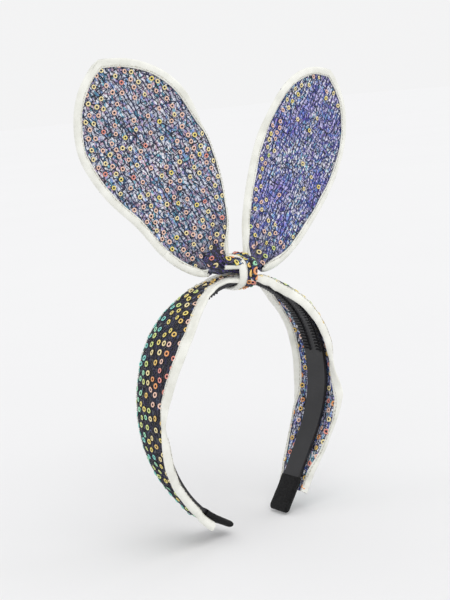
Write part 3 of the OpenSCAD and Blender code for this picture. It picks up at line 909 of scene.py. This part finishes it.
class Ear:
    """One ear's frame: along its length from its root, out across its width, and towards its front."""

    def __init__(self, name, roll, drawn, seed):
        bend, tip_bend = joints[f"{name}_bend"], joints[f"{name}_tip_bend"]
        self.name = name
        self.side = -1 if name == "ear_left" else 1
        self.roll = roll
        self.drawn = drawn
        self.seed = seed
        self.hinge = np.array(bend["pos_m"]) / MM
        self.tip_hinge = np.array(tip_bend["pos_m"]) / MM
        self.along = unit(self.tip_hinge - self.hinge)
        axis = unit(bend["axis"])
        self.front = np.cross(axis, self.along)
        self.across = self.side * axis
        self.root = self.hinge - EAR_NECK * self.along
        self.surface = Surface(self.middle, -self.side)

    def place(self, a, c, h):
        a, c, h = np.broadcast_arrays(a, c, h)
        return self.root + a[..., None] * self.along + c[..., None] * self.across + h[..., None] * self.front

    def turned(self, a):
        """How far the inner edge is rolled back, in radians."""
        return self.roll * window(a, 8, 74, 26)

    def low(self, a):
        """The cloth's inner edge. Where it is rolled back the cloth is wider than the ear looks."""
        spare = ROLL_WIDTH - farthest(ROLL_WIDTH, self.turned(a))
        spare = spare + 0.4 * self.drawn * np.exp(-((a - 98) / 18) ** 2)
        return np.interp(a, inner_points[:, 0], inner_points[:, 1]) - spare

    def high(self, a):
        """The cloth's outer edge, which is drawn in low down and bulges higher up."""
        drawn = self.drawn * (np.exp(-((a - 47) / 18) ** 2) - 0.45 * np.exp(-((a - 96) / 15) ** 2))
        return np.interp(a, outer_points[:, 0], outer_points[:, 1]) - drawn

    def middle(self, a, c):
        low, high = self.low(a), self.high(a)
        strip = np.clip(low + ROLL_WIDTH - c, 0, ROLL_WIDTH + 2)
        reach, back = rolled(strip, ROLL_WIDTH, self.turned(a))
        flat = np.where(strip > 0, low + ROLL_WIDTH - reach, c)
        share = np.clip((c - low) / np.maximum(high - low, 1), 0, 1)
        inside = blend(np.minimum(share, 1 - share) / 0.2)
        hollow = 0.9 + EAR_CUP * (1 - np.minimum(np.clip(a, 0, None) / EAR_BEND, 1)) ** 2
        pleat = 1.1 * (1 - blend((a - 2) / 26)) * np.sin(2 * math.pi * (4.5 * share + 0.1))
        wave = 0.55 * ripple(a, c, 34, self.seed) + 0.3 * ripple(a, c, 15, self.seed + 1)
        crinkle = 0.12 * ripple(a * 0.6, c, 4.5, self.seed + 2)
        depth = hollow * (flat / 35) ** 2 - back + inside * (pleat + wave + crinkle)
        return self.place(a, flat, depth)

    def edges(self):
        """Lower outer edge, lower inner edge, and the upper edge from one side round the tip to the other."""
        outer, inner = self.even(outer_points, self.high), self.even(inner_points, self.low)
        lower_outer = outer[outer[:, 0] <= EAR_SPLIT + SPLIT_OVERLAP]
        lower_inner = inner[inner[:, 0] <= EAR_SPLIT + SPLIT_OVERLAP]
        outer = outer[(outer[:, 0] > EAR_SPLIT - SPLIT_OVERLAP) & (outer[:, 1] > 2.5)]
        inner = inner[(inner[:, 0] > EAR_SPLIT - SPLIT_OVERLAP) & (inner[:, 1] < -2.5)]
        over = np.concatenate([outer, [(EAR_LENGTH, 0)], inner[::-1]])
        return edge_line(lower_outer, 1), edge_line(lower_inner, -1), edge_line(over, 1)

    def even(self, points, edge):
        """An edge of the ear, with its points about a pitch apart."""
        a = points[points[:, 0] >= EDGE_START, 0]
        route = np.stack([a, edge(a)], 1)
        total = run_length(route)[-1]
        return along_route(route, np.linspace(0, total, int(total / EDGE_PITCH)))

    def bend_lower(self, piece):
        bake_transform(piece)

    def bend_upper(self, piece):
        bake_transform(piece)


def split(ends, upper):
    """The threads of a net that lie above or below an ear's split."""
    above = (ends[0][:, 0] + ends[1][:, 0]) / 2 > EAR_SPLIT
    kept = above if upper else ~above
    return ends[0][kept], ends[1][kept]


def build_ear(ear, film, thread, likely, tints, count):
    surface, name, seed = ear.surface, ear.name, ear.seed
    net = crackle(0.5, EAR_LENGTH - 1.5, ear.low, ear.high, (4.8, 2.3), seed + 10)
    fine_net = crackle(0.5, EAR_LENGTH - 1.5, ear.low, ear.high, (3.7, 1.9), seed + 9)
    spots = scatter(count, 3, EAR_LENGTH - 5, ear.low, ear.high, 6.4, 3.6, likely, seed + 11)
    back_spots = scatter(count // 2, 3, EAR_LENGTH - 5, ear.low, ear.high, 6.4, 5, likely, seed + 12)
    rng = np.random.default_rng(seed + 13)
    lower_outer, lower_inner, over = ear.edges()
    profile = fold_profile(EAR_BINDING_WIDTH, 1.15)
    wire_angles = np.linspace(0, 2 * math.pi, 8, endpoint=False)
    wire_profile = np.stack([1.25 + 0.55 * np.cos(wire_angles), 0.55 * np.sin(wire_angles)], 1)
    for part, upper in (("", False), ("_tip", True)):
        tag = f"{name}{part}"
        levels = np.linspace(EAR_SPLIT, EAR_LENGTH - 0.8, 110) if upper else np.linspace(0.2, EAR_SPLIT, 40)
        cloth, area = cloth_sheet(f"{tag}_cloth", surface, levels, ear.low, ear.high, 64, 0.0, film)
        coarse = threads(f"{tag}_threads", surface, split(net, upper), 0.25, 0.1, thread, seed + 14)
        fine = threads(f"{tag}_fine_threads", surface, split(fine_net, upper), 0.14, 0.0, thread, seed + 8)
        front = spots[(spots[:, 0] > EAR_SPLIT) == upper]
        behind = back_spots[(back_spots[:, 0] > EAR_SPLIT) == upper]
        on_front = rings(f"{tag}_sequins", surface, front, rng.choice(tints, len(front)), 0.35, thread,
                         seed + 15, EAR_RING_SCALE)
        on_back = rings(f"{tag}_back_sequins", surface, behind, rng.choice(tints, len(behind)), -0.35, thread,
                        seed + 16, EAR_RING_SCALE)
        bend = ear.bend_upper if upper else ear.bend_lower
        cloth_pieces = [cloth, coarse, fine, on_front, on_back]
        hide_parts(f"{tag}_net")
        width = float(np.max(ear.high(levels) - ear.low(levels)))
        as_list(cloth_pieces[1:])
        for piece in cloth_pieces:
            bend(piece)
        lines = {"": over} if upper else {"_outer": lower_outer, "_inner": lower_inner}
        for place, line in lines.items():
            strip = edge_sweep(f"{tag}{place}_binding_strip", surface, line, profile, False, satin, 0.12,
                               seed + 17)
            seam = stitches(f"{tag}{place}_stitches", surface, line, EAR_BINDING_WIDTH - STITCH_INSET, 1.22,
                            seed + 18)
            run_length(line[0])[-1] * MM
            run = edge_sweep(f"{tag}{place}_wire_run", surface, line, wire_profile, True, steel, 0.0, seed)
            if place != "_inner":
                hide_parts(f"{tag}_binding")
                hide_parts(f"{tag}_wire")
            for piece, slot in ((strip, "satin_binding"), (seam, "satin_binding"), (run, "wire")):
                bend(piece)


def build_neck(ear, inside, film):
    """The gathered end of an ear: deep pleats that spread from the knot into the panel."""
    start = ear.root
    route = np.array([inside, mix(np.array(inside), start, 0.5) - (0, 0, 0.5), start,
                      start + 4 * ear.along + 1.5 * ear.across, start + 9 * ear.along + 3 * ear.across,
                      start + 11 * ear.along + 3.5 * ear.across])
    total = run_length(route)[-1]
    levels = np.linspace(0, total, 46)
    path = along_route(route, levels)
    for _ in range(6):
        path[1:-1] = (path[:-2] + 2 * path[1:-1] + path[2:]) / 4
    share = levels / total
    run = unit(np.gradient(path, axis=0))
    thin = unit(ear.front - np.sum(run * ear.front, 1)[:, None] * run)
    wide = np.cross(run, thin)
    packed = 1 - blend(share / 0.35)
    half_wide = 2.4 + 5.5 * blend((share - 0.25) / 0.6) + 1.2 * packed
    half_thin = 2.3 - 1.9 * blend((share - 0.35) / 0.6) + 4.2 * packed
    around = 72
    angle = np.linspace(0, 2 * math.pi, around, endpoint=False)
    pleat = 1 + 0.2 * np.sin(11 * angle)[None] * (1 - 0.6 * share[:, None])
    reach = (half_wide[:, None] * np.cos(angle) * pleat)[..., None] * wide[:, None]
    reach = reach + (half_thin[:, None] * np.sin(angle) * pleat)[..., None] * thin[:, None]
    points = (path[:, None] + reach).reshape(-1, 3)
    flat = np.stack([np.repeat(levels * 2.4, around), np.tile(angle * 22, len(levels))], 1)
    piece = new_piece(f"{ear.name}_neck", points, grid_faces(len(levels), around, closed=True), flat, [film])
    ear.bend_lower(piece)
    return piece


def left_likely(a, share):
    edge = min(share, 1 - share)
    return min(1.0, 0.2 + 0.7 * float(edge < 0.14) + 0.3 * float(a > 108) + 0.3 * float(a < 30)
               + 0.35 * float(share > 0.6 and a > 70))


def right_likely(a, share):
    return min(1.0, 0.04 + 0.9 * float(share < 0.16) + 0.3 * float(a < 30) + 0.15 * float(share > 0.9))


def build_ears():
    warm = [4, 6, 6, 4, 6, 6, 6, 4, 3, 6, 8, 6, 4]
    bright = [4, 3, 4, 6, 4, 2, 6, 4]
    left = Ear("ear_left", 1.9, 3.8, 100)
    right = Ear("ear_right", 0.6, 0.8, 200)
    build_ear(left, film_left, thread_left, left_likely, warm, 170)
    build_ear(right, film_right, thread_right, right_likely, bright, 62)
    middle = (5.2, -3.2, 8.3)
    neck = build_neck(left, middle, film_neck)
    build_neck(right, middle, film_neck)
    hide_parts("neck_gather")
    wires_route = np.array([left.root, (0, -3.0, 8.4), middle, (9.5, -3.5, 8.4), right.root])
    levels = np.linspace(0, run_length(wires_route)[-1], 60)
    path = along_route(wires_route, levels)
    for k, phase in enumerate((0, math.pi)):
        twist = levels * 0.9 + phase
        coil = path + 0.5 * np.stack([0 * twist, np.cos(twist), np.sin(twist)], 1)
        wire = tube(f"twisted_wire_{k + 1}", coil, 0.45, 8, steel)
        fix_to_root([wire])
        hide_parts("neck_wires")


# ---- studio ----

def direction(azimuth, elevation):
    """The way to a light or a camera, in degrees from the front and above the floor."""
    a, e = math.radians(azimuth), math.radians(elevation)
    return Vector((math.sin(a) * math.cos(e), -math.cos(a) * math.cos(e), math.sin(e)))


def sun(name, azimuth, elevation, strength, spread):
    """Soft light from a direction."""
    light = bpy.data.lights.new(name, "SUN")
    light.energy = strength
    light.angle = math.radians(spread)
    holder = new_object(name, light)
    holder.rotation_mode = "QUATERNION"
    holder.rotation_quaternion = direction(azimuth, elevation).to_track_quat("Z", "Y")


def build_studio():
    scene = bpy.context.scene
    scene.view_settings.view_transform = "Standard"
    world = bpy.data.worlds.new("studio")
    world.use_nodes = True
    background = world.node_tree.nodes["Background"]
    background.inputs["Color"].default_value = (0.9, 0.9, 0.904, 1)
    scene.world = world
    sun("key", -5, 62, 0.55, 40)
    sun("side", 75, 30, 0.35, 50)
    floor_height = cad_box[0].z / MM - 0.3
    size = 12000
    square = [(0, 0), (1, 0), (1, 1), (0, 1)]
    corners = [((2 * x - 1) * size, (2 * y - 1) * size, floor_height) for x, y in square]
    floor_look = start_material("pale_floor", Roughness=0.9, Specular_IOR_Level=0.0)
    place = solid_place(floor_look, 3)
    stops = [(0.3, (0.818, 0.818, 0.822, 1)), (0.7, (0.826, 0.826, 0.83, 1))]
    feed(floor_look, "Base Color", ramp(floor_look, noise(floor_look, place, 1.0), stops))
    floor = new_piece("studio_floor", corners, [(0, 1, 2, 3)], square, [floor_look])


CAMERA_LENS = 73.5
CAMERA_DISTANCE = 0.682
CAMERA_AZIMUTH, CAMERA_ELEVATION, CAMERA_ROLL = -37.7, 9.0, -5.26


def build_camera():
    data = bpy.data.cameras.new("photo_view")
    data.lens = CAMERA_LENS
    data.shift_x = -0.0100
    data.shift_y = -0.0296
    data.clip_end = 60
    camera = new_object("photo_view", data)
    back = direction(CAMERA_AZIMUTH, CAMERA_ELEVATION)
    camera.location = back * CAMERA_DISTANCE
    camera.rotation_mode = "QUATERNION"
    level = (-back).to_track_quat("-Z", "Y")
    camera.rotation_quaternion = level @ Quaternion((0, 0, 1), math.radians(CAMERA_ROLL))
    bpy.context.scene.camera = camera


frame["nodes"]["band_core"].material_slots[0].material = plastic
build_cover()
build_sleeve(-1, "sleeve_left_felt")
build_sleeve(1, "sleeve_right_felt")
build_knot()
build_tail()
build_ears()
build_studio()
build_camera()

bpy.context.view_layer.update()
